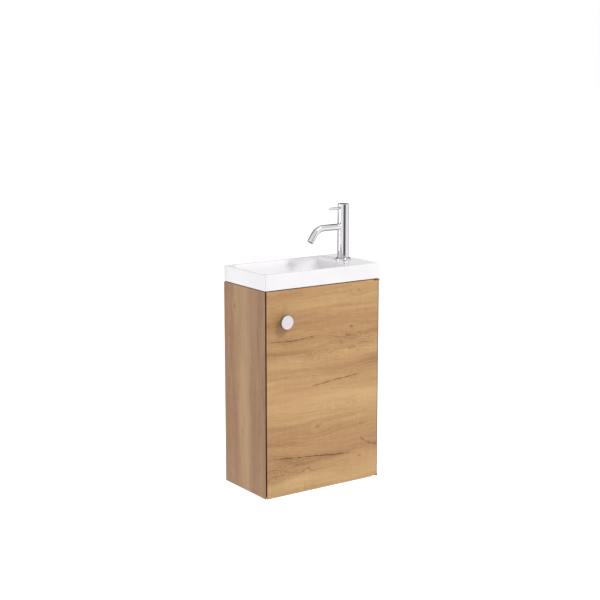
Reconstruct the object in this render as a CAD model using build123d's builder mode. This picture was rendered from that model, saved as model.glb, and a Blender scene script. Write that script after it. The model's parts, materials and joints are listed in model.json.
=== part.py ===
"""Wall-hung cloakroom vanity unit: a one-door oak-look cabinet with a ceramic slab basin and a pillar tap.

Millimetres. +X is to the right, +Y goes into the wall and +Z is up. The origin lies on the wall plane,
in the middle of the rear hanging rail's back face. Heights named here count from the cabinet's underside.
"""

import os
from math import sqrt

from build123d import *

# Cabinet
unit_width = 400.0
unit_depth = 220.0
carcass_height = 602.5
board = 16.0
door_thickness = 16.0
mitre_gap = 3.0
door_gap = 3.0
edge_round = 0.5
rail_height = 70.0
back_panel_thickness = 6.0
back_panel_top = 330.0
back_panel_inset = 20.0
shelf_thickness = 16.0
shelf_under_trap = 38.0
shelf_front_inset = 12.0
shelf_clearance = 0.5

# Joinery
dowel_radius = 4.0
dowel_in_side = 11.0
dowel_in_end = 19.0
cam_radius = 7.5
cam_depth = 12.5
cam_setback = 34.0
cam_slot = 1.6
cam_bolt_radius = 2.5
cam_bolt_in_side = 11.0
bottom_dowel_from_wall = 50.0
bottom_dowel_from_front = 60.0
rail_dowel_offset = 20.0
shelf_pin_radius = 2.5
shelf_pin_in_side = 9.0
shelf_pin_reach = 8.0
shelf_pin_from_wall = 60.0
shelf_pin_from_front = 55.0

# Basin
basin_height = 45.0
bed_gap = 2.5
bed_inset = 3.0
bed_width = 10.0
basin_corner_round = 3.0
basin_edge_round = 1.6
rim_margin = 10.0
tap_deck_length = 100.0
bowl_rim_round = 30.0
bowl_end_slope = 28.0
bowl_side_slope = 35.0
bowl_mid_round = 44.0
bowl_floor_end_slope = 47.0
bowl_floor_side_slope = 23.0
bowl_floor_flat = 2.0
bowl_mid_depth = 47.0
bowl_depth = 90.0
bowl_lip_round = 4.0
bowl_floor_fillet = 12.0
ceramic_wall = 7.0
ceramic_floor = 12.0
deck_thickness = 14.0
deck_recess_gap = 6.0

# Tap
tap_from_right = 52.0
tap_hole_radius = 14.0
tap_body_radius = 16.6
tap_body_height = 141.0
tap_bore_radius = 13.0
tap_seam = 0.3
tap_handle_top = 167.0
tap_handle_bore = 12.0
tap_handle_roof = 7.0
tap_edge_chamfer = 0.8
tap_ring_radius = 22.2
tap_ring_height = 6.0
tap_ring_round = 2.0
tap_seal_height = 1.5
tap_seal_radius = 16.0
spout_radius = 9.5
spout_bore = 7.0
spout_axis_height = 99.6
spout_run = 70.0
spout_bend_radius = 44.0
spout_bend_angle = 56.5
spout_nose = 23.0
aerator_radius = 8.0
aerator_length = 7.0
aerator_hole = 1.1
aerator_ring_spacing = 2.8
aerator_ring_holes = 6
aerator_ring_count = 2
lever_radius = 4.2
lever_reach = 48.3
lever_height = 154.4
lever_root = 9.0
cartridge_length = 28.0
spindle_radius = 4.0
spindle_clearance = 0.05
spindle_in_cartridge = 20.0
shank_radius = 10.2
shank_length = 78.0
shank_bore = 6.0
connector_length = 25.0
thread_relief_length = 2.0
thread_relief_depth = 0.8
backnut_flats = 30.0
backnut_height = 8.0
tap_washer_radius = 20.0
tap_washer_height = 3.0

# Waste and bottle trap
waste_flange_radius = 32.0
waste_flange_height = 3.0
waste_flange_round = 1.0
waste_seal_height = 1.0
waste_recess_clearance = 0.8
waste_radius = 21.0
waste_bore = 17.5
waste_hole_clearance = 1.5
waste_length = 60.0
waste_barrel_radius = 7.0
waste_barrel_drop = 22.0
waste_barrel_length = 34.0
waste_rib = 4.0
waste_rib_root = 1.0
waste_rib_height = 8.0
plug_radius = 30.0
plug_height = 5.0
plug_travel = 8.0
plug_stem_radius = 4.0
plug_stem_clearance = 0.05
plug_stem_length = 52.0
waste_nut_flats = 52.0
waste_nut_height = 9.0
waste_washer_height = 3.0
trap_pipe_radius = 16.0
trap_wall = 2.0
trap_nut_radius = 27.0
trap_nut_height = 24.0
trap_body_radius = 28.0
trap_body_height = 70.0
trap_inlet_drop = 27.0
trap_collar_height = 12.0
trap_collar_radius = 22.0
trap_cup_radius = 26.0
trap_cup_height = 52.0
trap_grip_radius = 31.0
trap_grip_height = 12.0
trap_grip_flutes = 20
trap_dip_clearance = 24.0
trap_outlet_drop = 28.0
trap_outlet_nut_radius = 23.0
trap_outlet_nut_length = 18.0
trap_outlet_boss = 12.0
trap_outlet_wall_gap = 1.0
trap_bead_radius = 17.5
trap_bead_length = 2.5

# Door furniture
knob_from_left = 59.0
knob_height = 514.0
knob_radius = 20.0
knob_disc = 9.5
knob_neck_radius = 9.0
knob_neck = 13.0
knob_edge = 0.8
knob_screw_radius = 2.0
knob_screw_head_radius = 4.5
knob_screw_head_height = 2.5
knob_screw_in_knob = 10.0
bumper_radius = 5.0
bumper_height = 2.7
bumper_from_side = 34.0
catch_height = 430.0
catch_length = 38.0
catch_width = 13.0
catch_tall = 16.0
catch_air = 0.5
catch_screw_radius = 1.6
catch_screw_head = 3.2
catch_screw_marks = (19.0, 32.3)
catch_round = 1.5
strike_thickness = 1.5
strike_tall = 40.0
strike_round = 3.0
strike_screw_spacing = 28.0
strike_screw_length = 9.6
strike_screw_head_height = 0.9

# Corner pivot hinges
hinge_setback = 1.5
leaf_thickness = 2.0
leaf_half_width = 4.5
leaf_line = 8.0
leaf_near = 15.0
leaf_far = 58.0
leaf_eye_radius = 3.2
leaf_relief = 0.5
hinge_washer = 0.4
pivot_pin_radius = 1.5
pivot_clearance = 0.05
hinge_screw_radius = 1.5
hinge_screw_head = 3.0
hinge_screw_length = 16.0
hinge_screw_marks = (26.0, 48.0)

# Wall hangers
hanger_top_drop = 86.0
hanger_width = 14.0
hanger_depth = 40.0
hanger_tall = 56.0
hanger_from_wall = 14.0
hook_thickness = 2.5
hook_width = 10.0
hook_reach = 3.2
hook_drop = 10.0
plate_thickness = 2.0
plate_side_gap = 1.0
plate_width = 44.0
plate_tall = 64.0
plate_lip = 8.0
plate_lip_rise = 8.0
plate_hole_radius = 3.0
plate_hole_spacing = 40.0
hanger_screw_radius = 2.0
hanger_screw_head = 4.0
hanger_screw_length = 12.0
hanger_screw_from_end = 14.0
drive_length = 3.6
drive_width = 0.8
drive_depth = 0.7
adjuster_radius = 4.0
adjuster_length = 6.0
adjuster_cross = 5.6
adjuster_cross_width = 1.0
adjuster_cross_depth = 1.5

half_width = unit_width / 2
front = -unit_depth
base_z = -(carcass_height - rail_height / 2)
mitre_tip = mitre_gap / 2 * sqrt(2)
inner_x = half_width - board
carcass_front = front + door_thickness + door_gap
basin_bottom = carcass_height + bed_gap
basin_top = basin_bottom + basin_height
bowl_y = front / 2
bowl_rim_length = unit_width - rim_margin - tap_deck_length
bowl_rim_width = unit_depth - 2 * rim_margin
bowl_center_x = (rim_margin - tap_deck_length) / 2
bowl_mid_length = bowl_rim_length - 2 * bowl_end_slope
bowl_mid_width = bowl_rim_width - 2 * bowl_side_slope
bowl_floor_length = bowl_mid_length - 2 * bowl_floor_end_slope
bowl_floor_width = bowl_mid_width - 2 * bowl_floor_side_slope
bowl_floor_round = (bowl_floor_width - bowl_floor_flat) / 2
floor_height = basin_top - bowl_depth
tap_x = half_width - tap_from_right
tap_y = front / 2
flange_low = floor_height - waste_flange_height
waste_low = flange_low - waste_length
trap_body_top = waste_low - trap_inlet_drop
body_bottom = trap_body_top - trap_body_height
cup_bottom = body_bottom - trap_cup_height
shelf_top = cup_bottom - shelf_under_trap


def level(height):
    """A horizontal work plane at a height above the cabinet's underside."""
    return Plane.XY.offset(base_z + height)


def upright(x, y):
    """A vertical work plane facing +X, whose own x runs along +Y, its y along +Z."""
    return Plane(origin=(x, y, base_z), x_dir=(0, 1, 0), z_dir=(1, 0, 0))


def facing_front(y):
    """A vertical work plane facing the front, -Y, whose own x runs along +X and its y along +Z."""
    return Plane(origin=(0, y, base_z), x_dir=(1, 0, 0), z_dir=(0, -1, 0))


def rod(plane, points, radius, length):
    """Add equal rods that stand on a plane at the given points."""
    with BuildSketch(plane) as discs:
        with Locations(*points):
            Circle(radius)
    extrude(discs.sketch, amount=length)


os.makedirs("parts", exist_ok=True)

# Dowels and cam fittings, one set at each end of the bottom panel and of both rails
rear_rail_y = -board / 2
front_rail_y = carcass_front + board / 2
rail_low = carcass_height - rail_height
bottom_dowel_ys = (-bottom_dowel_from_wall, front + bottom_dowel_from_front)
bottom_cam_y = sum(bottom_dowel_ys) / 2
dowel_spots = [(y, board / 2) for y in bottom_dowel_ys]
dowel_spots += [(y, rail_low + rail_dowel_offset) for y in (rear_rail_y, front_rail_y)]
rail_cam_height = carcass_height - rail_dowel_offset
cam_spots = [(bottom_cam_y, board / 2)]
cam_spots += [(y, rail_cam_height) for y in (rear_rail_y, front_rail_y)]

with BuildPart() as carcass_dowels:
    for side in (-1, 1):
        shift = 0 if side > 0 else -(dowel_in_side + dowel_in_end)
        start = side * inner_x - side * dowel_in_end + shift
        rod(upright(start, 0), dowel_spots, dowel_radius, dowel_in_side + dowel_in_end)
carcass_dowels.part.label = "carcass_dowels"
export_step(carcass_dowels.part, "parts/carcass_dowels.step")

with BuildPart() as cam_bolts:
    for side in (-1, 1):
        reach = cam_setback + cam_bolt_in_side
        start = side * inner_x - side * cam_setback - (0 if side > 0 else reach)
        rod(upright(start, 0), cam_spots, cam_bolt_radius, reach)
cam_bolts.part.label = "cam_bolts"
export_step(cam_bolts.part, "parts/cam_bolts.step")

cam_xs = [side * (inner_x - cam_setback) for side in (-1, 1)]
rail_cams = [(x, rail_cam_height) for x in cam_xs]
with BuildPart() as cam_pockets:
    rod(level(board - cam_depth), [(x, bottom_cam_y) for x in cam_xs], cam_radius, cam_depth)
    rod(facing_front(-board + cam_depth), rail_cams, cam_radius, cam_depth)
    rod(facing_front(carcass_front + board), rail_cams, cam_radius, cam_depth)

with BuildPart() as cam_discs:
    add(cam_pockets.part)
    add(cam_bolts.part, mode=Mode.SUBTRACT)
    with Locations(*[(x, bottom_cam_y, base_z + board) for x in cam_xs]):
        Box(cam_radius, cam_slot, 2 * cam_slot, mode=Mode.SUBTRACT)
    for face_y in (-board, carcass_front + board):
        with Locations(*[(x, face_y, base_z + rail_cam_height) for x in cam_xs]):
            Box(cam_radius, 2 * cam_slot, cam_slot, mode=Mode.SUBTRACT)
cam_discs.part.label = "cam_discs"
export_step(cam_discs.part, "parts/cam_discs.step")

shelf_under = shelf_top - shelf_thickness
with BuildPart() as shelf_pins:
    pin_ys = (-shelf_pin_from_wall, front + shelf_pin_from_front)
    pin_spots = [(y, shelf_under - shelf_pin_radius) for y in pin_ys]
    pin_length = shelf_pin_in_side + shelf_pin_reach
    for side in (-1, 1):
        start = side * inner_x - side * shelf_pin_reach - (0 if side > 0 else pin_length)
        rod(upright(start, 0), pin_spots, shelf_pin_radius, pin_length)
shelf_pins.part.label = "shelf_pins"
export_step(shelf_pins.part, "parts/shelf_pins.step")

# Corner pivot hinges: a fixed leaf in the right side panel and a door leaf at top and bottom
axis_x = half_width - hinge_setback
axis_y = front + hinge_setback


def fixed_leaf_face(grow):
    """Outline of the cabinet leaf with its eye on the hinge axis."""
    with BuildSketch(mode=Mode.PRIVATE) as face:
        with Locations((axis_x, axis_y)):
            Circle(leaf_eye_radius + grow)
        for mark in (leaf_near, leaf_far):
            with Locations((half_width - leaf_line, front + mark)):
                Circle(leaf_half_width + grow)
        make_hull()
    return face.sketch


def door_leaf_face(grow):
    """Outline of the door leaf with its eye on the hinge axis."""
    with BuildSketch(mode=Mode.PRIVATE) as face:
        with Locations((axis_x, axis_y)):
            Circle(leaf_eye_radius + grow)
        for mark in (leaf_near, leaf_far):
            with Locations((half_width - mark, front + leaf_line)):
                Circle(leaf_half_width + grow)
        make_hull()
    return face.sketch


def plate(face, height, thickness, mode=Mode.ADD):
    """Add or cut a flat plate of the given outline, standing on a height."""
    with BuildSketch(level(height)) as outline:
        add(face)
    extrude(outline.sketch, amount=thickness, mode=mode)


door_leaf_low = leaf_thickness + hinge_washer
fixed_leaf_high = carcass_height - leaf_thickness
door_leaf_high = fixed_leaf_high - hinge_washer - leaf_thickness
stack = 2 * leaf_thickness + hinge_washer
fixed_screw_spots = [(half_width - leaf_line, front + mark) for mark in hinge_screw_marks]
door_screw_spots = [(half_width - mark, front + leaf_line) for mark in hinge_screw_marks]


def leaf_screws(spots, low_face, high_face):
    """Countersunk screws driven up from a low leaf and down from a high one."""
    head_height = hinge_screw_head - hinge_screw_radius
    for face_height, direction in ((low_face, 1), (high_face, -1)):
        with BuildSketch(level(face_height)) as shanks:
            with Locations(*spots):
                Circle(hinge_screw_radius)
        extrude(shanks.sketch, amount=direction * hinge_screw_length)
        with Locations(*[(x, y, base_z + face_height) for x, y in spots]):
            Cone(
                bottom_radius=hinge_screw_head,
                top_radius=hinge_screw_radius,
                height=head_height,
                rotation=(0 if direction > 0 else 180, 0, 0),
                align=(Align.CENTER, Align.CENTER, Align.MIN),
            )


with BuildPart() as hinge_screws_cabinet:
    leaf_screws(fixed_screw_spots, 0, carcass_height)

with BuildPart() as hinge_screws_door:
    leaf_screws(door_screw_spots, door_leaf_low, door_leaf_high + leaf_thickness)

for name, height in (("bottom", 0), ("top", fixed_leaf_high)):
    with BuildPart() as hinge_leaf_fixed:
        plate(fixed_leaf_face(0), height, leaf_thickness)
        with BuildSketch(level(height)):
            with Locations((axis_x, axis_y)):
                Circle(pivot_pin_radius + pivot_clearance)
        extrude(amount=leaf_thickness, mode=Mode.SUBTRACT)
        add(hinge_screws_cabinet.part, mode=Mode.SUBTRACT)
    hinge_leaf_fixed.part.label = f"hinge_leaf_fixed_{name}"
    export_step(hinge_leaf_fixed.part, f"parts/hinge_leaf_fixed_{name}.step")

pin_reach = leaf_thickness + hinge_washer
for name, height, pin_low in (
    ("bottom", door_leaf_low, 0),
    ("top", door_leaf_high, door_leaf_high + leaf_thickness),
):
    with BuildPart() as hinge_leaf_door:
        plate(door_leaf_face(0), height, leaf_thickness)
        rod(level(pin_low), [(axis_x, axis_y)], pivot_pin_radius, pin_reach)
        add(hinge_screws_door.part, mode=Mode.SUBTRACT)
    hinge_leaf_door.part.label = f"hinge_leaf_door_{name}"
    export_step(hinge_leaf_door.part, f"parts/hinge_leaf_door_{name}.step")

washer_lows = (leaf_thickness, fixed_leaf_high - hinge_washer)
with BuildPart() as hinge_washers:
    for height in washer_lows:
        with BuildSketch(level(height)):
            with Locations((axis_x, axis_y)):
                Circle(leaf_eye_radius - leaf_relief)
                Circle(pivot_pin_radius + pivot_clearance, mode=Mode.SUBTRACT)
        extrude(amount=hinge_washer)
hinge_washers.part.label = "hinge_washers"
export_step(hinge_washers.part, "parts/hinge_washers.step")

# Wall hangers: a bracket inside each upper rear corner, its hook, and the plate screwed to the wall
hanger_top = carcass_height - hanger_top_drop
lip_top = hanger_top - hook_thickness
plate_mid = lip_top - plate_lip_rise - plate_tall / 2
hanger_center_x = inner_x - hanger_width / 2
hanger_back = -hanger_from_wall
hanger_mid_y = hanger_back - hanger_depth / 2
hanger_screw_zs = [hanger_top - hanger_screw_from_end, hanger_top - hanger_tall + hanger_screw_from_end]
hanger_spots = [(hanger_mid_y, z) for z in hanger_screw_zs]
hanger_head_x = inner_x - hanger_width

with BuildPart() as hanger_screws:
    for side in (-1, 1):
        head_x = side * hanger_head_x
        tip_x = head_x + side * (hanger_width + hanger_screw_length)
        rod(upright(min(head_x, tip_x), 0), hanger_spots, hanger_screw_radius, abs(tip_x - head_x))
        head_start = head_x if side > 0 else head_x - hanger_screw_radius
        rod(upright(head_start, 0), hanger_spots, hanger_screw_head, hanger_screw_radius)

with BuildPart() as hanger_hooks:
    for side in (-1, 1):
        with Locations((side * hanger_center_x, 0, base_z + lip_top)):
            with Locations((0, (hanger_back - hook_reach - hanger_depth / 2) / 2, 0)):
                Box(
                    hook_width,
                    -hook_reach - hanger_back + hanger_depth / 2,
                    hook_thickness,
                    align=(Align.CENTER, Align.CENTER, Align.MIN),
                )
            with Locations((0, -hook_reach, hook_thickness)):
                Box(
                    hook_width,
                    hook_thickness,
                    hook_drop,
                    align=(Align.CENTER, Align.MAX, Align.MAX),
                )
hanger_hooks.part.label = "hanger_hooks"
export_step(hanger_hooks.part, "parts/hanger_hooks.step")

with BuildPart() as hanger_adjusters:
    for side in (-1, 1):
        plane = facing_front(hanger_back - hanger_depth + adjuster_length / 2)
        adjuster_at = (side * hanger_center_x, hanger_top - hanger_tall / 2)
        rod(plane, [adjuster_at], adjuster_radius, adjuster_length)
    adjuster_faces = faces().sort_by(Axis.Y)[:2]
    for face in adjuster_faces:
        with BuildSketch(Plane(face)):
            Rectangle(adjuster_cross, adjuster_cross_width)
            Rectangle(adjuster_cross_width, adjuster_cross)
        extrude(amount=-adjuster_cross_depth, mode=Mode.SUBTRACT)
hanger_adjusters.part.label = "hanger_adjusters"
export_step(hanger_adjusters.part, "parts/hanger_adjusters.step")

for side, name in ((-1, "left"), (1, "right")):
    with BuildPart() as hanger_body:
        with Locations((side * hanger_center_x, hanger_mid_y, base_z + hanger_top)):
            Box(hanger_width, hanger_depth, hanger_tall, align=(Align.CENTER, Align.CENTER, Align.MAX))
        fillet(hanger_body.edges().filter_by(Axis.X), hook_thickness)
        add(hanger_hooks.part, mode=Mode.SUBTRACT)
        add(hanger_screws.part, mode=Mode.SUBTRACT)
        add(hanger_adjusters.part, mode=Mode.SUBTRACT)
    hanger_body.part.label = f"hanger_{name}"
    export_step(hanger_body.part, f"parts/hanger_{name}.step")

with BuildPart() as wall_plates:
    plate_x = inner_x - plate_width / 2 - plate_side_gap
    for side in (-1, 1):
        with Locations((side * plate_x, 0, base_z + lip_top - plate_lip_rise)):
            Box(plate_width, plate_thickness, plate_tall, align=(Align.CENTER, Align.MAX, Align.MAX))
            Box(plate_width, plate_lip, plate_thickness, align=(Align.CENTER, Align.MAX, Align.MAX))
            with Locations((0, -plate_lip, -plate_thickness)):
                Box(
                    plate_width,
                    plate_thickness,
                    plate_lip_rise + plate_thickness,
                    align=(Align.CENTER, Align.MIN, Align.MIN),
                )
    hole_spots = [
        (side * plate_x, plate_mid + step * plate_hole_spacing / 2) for side in (-1, 1) for step in (-1, 1)
    ]
    with BuildSketch(facing_front(0)):
        with Locations(*hole_spots):
            Circle(plate_hole_radius)
    extrude(amount=plate_thickness, mode=Mode.SUBTRACT)
wall_plates.part.label = "wall_plates"
export_step(wall_plates.part, "parts/wall_plates.step")

# Magnetic catch on the left side panel and its strike on the door
door_back = front + door_thickness
catch_front = door_back + strike_thickness + catch_air
catch_center_x = -(inner_x - catch_width / 2)

catch_spots = [(catch_front + mark, catch_height) for mark in catch_screw_marks]
catch_head_x = -(inner_x - catch_width)

with BuildPart() as catch_screws:
    tip_x = -(half_width - board / 2)
    rod(upright(tip_x, 0), catch_spots, catch_screw_radius, catch_head_x - tip_x)
    head_x = catch_head_x - catch_screw_radius
    rod(upright(head_x, 0), catch_spots, catch_screw_head, catch_screw_radius)

strike_spots = [(catch_center_x, catch_height + step * strike_screw_spacing / 2) for step in (-1, 1)]
strike_face = facing_front(door_back + strike_thickness)
with BuildPart() as strike_screws:
    rod(strike_face, strike_spots, catch_screw_radius, strike_screw_length)
    rod(strike_face, strike_spots, catch_screw_head, strike_screw_head_height)

with BuildPart() as catch_body:
    with Locations((catch_center_x, catch_front, base_z + catch_height)):
        Box(catch_width, catch_length, catch_tall, align=(Align.CENTER, Align.MIN, Align.CENTER))
    fillet(catch_body.edges().filter_by(Axis.X), catch_round)
    add(catch_screws.part, mode=Mode.SUBTRACT)
catch_body.part.label = "catch_body"
export_step(catch_body.part, "parts/catch_body.step")

with BuildPart() as catch_strike:
    with Locations((catch_center_x, door_back, base_z + catch_height)):
        Box(catch_width, strike_thickness, strike_tall, align=(Align.CENTER, Align.MIN, Align.CENTER))
    fillet(catch_strike.edges().filter_by(Axis.Y), strike_round)
    add(strike_screws.part, mode=Mode.SUBTRACT)
catch_strike.part.label = "catch_strike"
export_step(catch_strike.part, "parts/catch_strike.step")


# Boards of the carcass
def side_board(side):
    """A side panel, with its front edge mitred towards the door."""
    with BuildSketch(level(0)) as plan:
        with BuildLine():
            Polyline(
                (side * half_width, 0),
                (side * inner_x, 0),
                (side * inner_x, front + mitre_tip + board),
                (side * half_width, front + mitre_tip),
                close=True,
            )
        make_face()
    extrude(plan.sketch, amount=carcass_height)


with BuildPart() as side_panel_left:
    side_board(-1)
    for fitting in (carcass_dowels, cam_bolts, shelf_pins, hanger_screws, catch_screws):
        add(fitting.part, mode=Mode.SUBTRACT)
side_panel_left.part.label = "side_panel_left"
export_step(side_panel_left.part, "parts/side_panel_left.step")

with BuildPart() as side_panel_right:
    side_board(1)
    plate(fixed_leaf_face(0), 0, leaf_thickness, Mode.SUBTRACT)
    plate(fixed_leaf_face(0), fixed_leaf_high, leaf_thickness, Mode.SUBTRACT)
    stack_pocket = stack + leaf_relief
    plate(door_leaf_face(leaf_relief), 0, stack_pocket, Mode.SUBTRACT)
    plate(door_leaf_face(leaf_relief), carcass_height - stack_pocket, stack_pocket, Mode.SUBTRACT)
    for fitting in (carcass_dowels, cam_bolts, shelf_pins, hanger_screws, hinge_screws_cabinet):
        add(fitting.part, mode=Mode.SUBTRACT)
side_panel_right.part.label = "side_panel_right"
export_step(side_panel_right.part, "parts/side_panel_right.step")

with BuildPart() as bottom_panel:
    with Locations((0, 0, base_z)):
        Box(2 * inner_x, -carcass_front, board, align=(Align.CENTER, Align.MAX, Align.MIN))
    for fitting in (carcass_dowels, cam_bolts, cam_pockets):
        add(fitting.part, mode=Mode.SUBTRACT)
bottom_panel.part.label = "bottom_panel"
export_step(bottom_panel.part, "parts/bottom_panel.step")

for name, rail_back in (("rear_top_rail", 0), ("front_top_rail", carcass_front + board)):
    with BuildPart() as top_rail:
        with Locations((0, rail_back, base_z + rail_low)):
            Box(2 * inner_x, board, rail_height, align=(Align.CENTER, Align.MAX, Align.MIN))
        for fitting in (carcass_dowels, cam_bolts, cam_pockets):
            add(fitting.part, mode=Mode.SUBTRACT)
    top_rail.part.label = name
    export_step(top_rail.part, f"parts/{name}.step")

with BuildPart() as back_panel:
    with Locations((0, -back_panel_inset, base_z + board)):
        Box(
            2 * inner_x,
            back_panel_thickness,
            back_panel_top - board,
            align=(Align.CENTER, Align.MAX, Align.MIN),
        )
back_panel.part.label = "back_panel"
export_step(back_panel.part, "parts/back_panel.step")

with BuildPart() as shelf:
    shelf_back = -back_panel_inset - back_panel_thickness - shelf_clearance
    shelf_front = carcass_front + shelf_front_inset
    with Locations((0, shelf_back, base_z + shelf_under)):
        Box(
            2 * (inner_x - shelf_clearance),
            shelf_back - shelf_front,
            shelf_thickness,
            align=(Align.CENTER, Align.MAX, Align.MIN),
        )
shelf.part.label = "shelf"
export_step(shelf.part, "parts/shelf.step")

# Basin bed: a bead of sealant on the side panels and rails
with BuildPart() as basin_bed:
    with BuildSketch(level(carcass_height)):
        bed_back = -bed_inset
        bed_front = carcass_front + bed_inset
        with Locations((0, (bed_back + bed_front) / 2)):
            Rectangle(unit_width - 2 * bed_inset, bed_back - bed_front)
            Rectangle(
                unit_width - 2 * (bed_inset + bed_width),
                bed_back - bed_front - 2 * bed_width,
                mode=Mode.SUBTRACT,
            )
    extrude(amount=bed_gap)
basin_bed.part.label = "basin_bed"
export_step(basin_bed.part, "parts/basin_bed.step")


def bowl_section(height, length, width, corner):
    """One rounded rectangle of the bowl, centred on the waste."""
    with BuildSketch(level(height)) as section:
        with Locations((bowl_center_x, bowl_y)):
            RectangleRounded(length, width, corner)
    return section.sketch


waste_hole_radius = waste_radius + waste_hole_clearance
recess_radius = waste_flange_radius + waste_recess_clearance
recess_depth = waste_flange_height + waste_seal_height
mid_height = basin_top - bowl_mid_depth
shell = 2 * ceramic_wall

with BuildPart() as bowl_inside:
    loft(
        [
            bowl_section(floor_height, bowl_floor_length, bowl_floor_width, bowl_floor_round),
            bowl_section(mid_height, bowl_mid_length, bowl_mid_width, bowl_mid_round),
            bowl_section(basin_top, bowl_rim_length, bowl_rim_width, bowl_rim_round),
        ]
    )
    fillet(bowl_inside.faces().sort_by(Axis.Z)[0].edges(), bowl_floor_fillet)

with BuildPart() as bowl_outside:
    outer_floor = floor_height - ceramic_floor
    outer_length = bowl_mid_length + shell
    outer_width = bowl_mid_width + shell
    outer_round = bowl_mid_round + ceramic_wall
    loft(
        [
            bowl_section(
                outer_floor,
                bowl_floor_length + shell,
                bowl_floor_width + shell,
                bowl_floor_round + ceramic_wall,
            ),
            bowl_section(mid_height, outer_length, outer_width, outer_round),
            bowl_section(
                basin_top - deck_thickness,
                outer_length + 2 * deck_thickness,
                outer_width + 2 * deck_thickness,
                outer_round,
            ),
        ]
    )
    fillet(bowl_outside.faces().sort_by(Axis.Z)[0].edges(), bowl_floor_fillet + ceramic_wall)

with BuildPart() as basin:
    with BuildSketch(level(basin_bottom)):
        with Locations((0, front / 2)):
            RectangleRounded(unit_width, unit_depth, basin_corner_round)
    extrude(amount=basin_height)
    fillet(basin.faces().sort_by(Axis.Z)[-1].edges(), basin_edge_round)
    deck_recess_left = bowl_center_x + bowl_rim_length / 2 + deck_recess_gap
    with Locations(((deck_recess_left + inner_x) / 2, front / 2, base_z + basin_bottom)):
        Box(
            inner_x - deck_recess_left,
            unit_depth - 2 * (board + door_gap),
            basin_height - deck_thickness,
            align=(Align.CENTER, Align.CENTER, Align.MIN),
            mode=Mode.SUBTRACT,
        )
    add(bowl_outside.part)
    add(bowl_inside.part, mode=Mode.SUBTRACT)
    slab_top = basin.faces().sort_by(Axis.Z)[-1]
    fillet(slab_top.inner_wires()[0].edges(), bowl_lip_round)
    with BuildSketch(level(basin_bottom)):
        with Locations((tap_x, tap_y)):
            Circle(tap_hole_radius)
    extrude(amount=basin_height, mode=Mode.SUBTRACT)
    with BuildSketch(level(floor_height - recess_depth)):
        with Locations((bowl_center_x, bowl_y)):
            Circle(recess_radius)
    extrude(amount=recess_depth, mode=Mode.SUBTRACT)
    with BuildSketch(level(outer_floor)):
        with Locations((bowl_center_x, bowl_y)):
            Circle(waste_hole_radius)
    extrude(amount=ceramic_floor, mode=Mode.SUBTRACT)
basin.part.label = "basin"
export_step(basin.part, "parts/basin.step")

# Tap: body, spout, handle and the threaded tail that clamps it to the basin
body_low = basin_top + tap_seal_height
body_high = basin_top + tap_body_height
chamber_low = basin_top + spout_axis_height - 2 * spout_bore
shank_socket = tap_seal_height + shank_radius
spout_plane = Plane(origin=(tap_x, tap_y, base_z), x_dir=(1, 0, 0), z_dir=(0, -1, 0))
spout_height = basin_top + spout_axis_height

with BuildPart() as tap_shank:
    shank_low = basin_top - shank_length
    rod(level(shank_low), [(tap_x, tap_y)], shank_radius, shank_length + shank_socket)
    with BuildSketch(level(shank_low)):
        with Locations((tap_x, tap_y)):
            Circle(shank_bore)
    extrude(amount=shank_length + shank_socket, mode=Mode.SUBTRACT)
    with BuildSketch(level(shank_low + connector_length)):
        with Locations((tap_x, tap_y)):
            Circle(shank_radius)
            Circle(shank_radius - thread_relief_depth, mode=Mode.SUBTRACT)
    extrude(amount=thread_relief_length, mode=Mode.SUBTRACT)
    chamfer(tap_shank.faces().sort_by(Axis.Z)[0].edges().sort_by(SortBy.RADIUS)[-1], tap_edge_chamfer)
tap_shank.part.label = "tap_shank"
export_step(tap_shank.part, "parts/tap_shank.step")

with BuildPart() as tap_spout:
    with BuildLine(spout_plane) as spout_path:
        run = Line((-tap_bore_radius, spout_height), (-spout_run, spout_height))
        bend = JernArc(run @ 1, run % 1, spout_bend_radius, spout_bend_angle)
        Line(bend @ 1, (bend @ 1) + (bend % 1) * spout_nose)
    start_plane = Plane(origin=spout_path.line @ 0, z_dir=spout_path.line % 0)
    with BuildSketch(start_plane):
        Circle(spout_radius)
    sweep(path=spout_path.line)
    fillet(tap_spout.faces().sort_by(Axis.Z)[0].edges(), tap_edge_chamfer)
    with BuildSketch(start_plane):
        Circle(spout_bore)
    sweep(path=spout_path.line, mode=Mode.SUBTRACT)
    mouth_plane = Plane(origin=spout_path.line @ 1, z_dir=-(spout_path.line % 1))
    with BuildSketch(mouth_plane):
        Circle(aerator_radius)
    extrude(amount=aerator_length, mode=Mode.SUBTRACT)
tap_spout.part.label = "tap_spout"
export_step(tap_spout.part, "parts/tap_spout.step")

with BuildPart() as tap_aerator:
    with BuildSketch(mouth_plane.offset(tap_edge_chamfer)):
        Circle(aerator_radius)
        for ring in range(1, aerator_ring_count + 1):
            with PolarLocations(ring * aerator_ring_spacing, ring * aerator_ring_holes):
                Circle(aerator_hole, mode=Mode.SUBTRACT)
    extrude(amount=aerator_length - tap_edge_chamfer)
tap_aerator.part.label = "tap_aerator"
export_step(tap_aerator.part, "parts/tap_aerator.step")

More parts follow.
